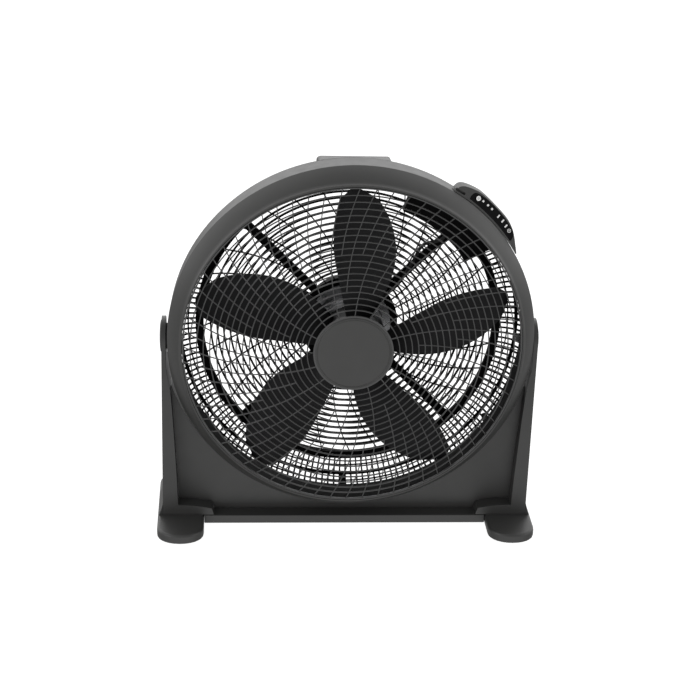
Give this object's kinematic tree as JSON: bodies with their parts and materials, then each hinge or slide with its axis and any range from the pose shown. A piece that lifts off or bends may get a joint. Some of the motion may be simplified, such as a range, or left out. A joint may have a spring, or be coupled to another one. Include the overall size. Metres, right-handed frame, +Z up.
{
  "type": "tilting drum floor fan",
  "caption": "Round drum fan that tilts on a low floor stand, with domed front grille, broad curved blades, rear motor, hooded carry grip and rim-mounted control pod.",
  "frame": {"origin": "on the floor, under the middle of the stand, directly below the tilt axis", "axes": "+Z up, +Y from the front grille towards the motor, +X to the right as seen from in front"},
  "size_m": [0.594, 0.212, 0.599],
  "materials": {
    "charcoal_plastic": "fine-grained charcoal moulding",
    "grille_plastic": "satin dark grey moulding",
    "black_plastic": "satin black moulding",
    "blade_plastic": "semi-gloss black moulding",
    "gloss_black": "polished black",
    "white_lens": "translucent white light guide",
    "soft_rubber": "matte black rubber",
    "plated_steel": "zinc-plated steel",
    "motor_casting": "cast aluminium",
    "sintered_bronze": "oiled sintered bronze",
    "copper_wire": "enamelled copper wire",
    "circuit_board": "green solder mask"
  },
  "bodies": {
    "stand": {"left_arm": "charcoal_plastic", "right_arm": "charcoal_plastic", "base_rail": "charcoal_plastic", "stand_panel": "charcoal_plastic", "left_foot": "charcoal_plastic", "right_foot": "charcoal_plastic", "left_pivot_cap": "charcoal_plastic", "right_pivot_cap": "charcoal_plastic", "left_front_pad": "soft_rubber", "left_rear_pad": "soft_rubber", "right_front_pad": "soft_rubber", "right_rear_pad": "soft_rubber", "left_foot_screw": "plated_steel", "right_foot_screw": "plated_steel"},
    "drum": {"front_housing": "charcoal_plastic", "duct_ring": "black_plastic", "rear_shell": "black_plastic", "rear_grille": "black_plastic", "front_grille": "grille_plastic", "grille_badge": "charcoal_plastic", "carry_handle": "charcoal_plastic", "left_pivot_bush": "black_plastic", "right_pivot_bush": "black_plastic", "left_friction_washer": "soft_rubber", "right_friction_washer": "soft_rubber", "left_pivot_bolt": "plated_steel", "right_pivot_bolt": "plated_steel", "left_pivot_nut": "plated_steel", "right_pivot_nut": "plated_steel", "housing_screw_1": "plated_steel", "housing_screw_2": "plated_steel", "housing_screw_3": "plated_steel", "housing_screw_4": "plated_steel", "motor_front_cover": "motor_casting", "motor_rear_cover": "motor_casting", "front_bearing": "sintered_bronze", "rear_bearing": "sintered_bronze", "stator_core": "plated_steel", "stator_windings": "copper_wire", "motor_cover": "black_plastic", "cable_inlet": "soft_rubber", "motor_screw_1": "plated_steel", "motor_screw_2": "plated_steel", "motor_screw_3": "plated_steel", "motor_screw_4": "plated_steel", "electronics_box": "black_plastic", "electronics_lid": "black_plastic", "power_board": "circuit_board", "motor_capacitor": "black_plastic", "motor_lead": "soft_rubber", "pod_housing": "charcoal_plastic", "control_panel": "gloss_black", "light_guide": "white_lens", "control_board": "circuit_board"},
    "blade_wheel": {"impeller": "blade_plastic", "spinner_nut": "black_plastic", "motor_shaft": "plated_steel", "rotor": "plated_steel"},
    "speed_button": {"speed_button": "gloss_black"},
    "timer_button": {"timer_button": "gloss_black"}
  },
  "joints": [
    {"name": "drum_tilt", "type": "hinge", "parent": "stand", "child": "drum", "pos_m": [0, 0, 0.309], "axis": [-1, 0, 0], "range_deg": [-20, 90]},
    {"name": "blade_spin", "type": "hinge", "parent": "drum", "child": "blade_wheel", "pos_m": [0, 0, 0.319], "axis": [0, -1, 0], "continuous": true},
    {"name": "speed_press", "type": "slide", "parent": "drum", "child": "speed_button", "axis": [-0.2876, 0.9135, -0.2876], "range_m": [0, 0.0008], "stiffness_N_per_m": 600},
    {"name": "timer_press", "type": "slide", "parent": "drum", "child": "timer_button", "axis": [-0.2876, 0.9135, -0.2876], "range_m": [0, 0.0008], "stiffness_N_per_m": 600}
  ]
}
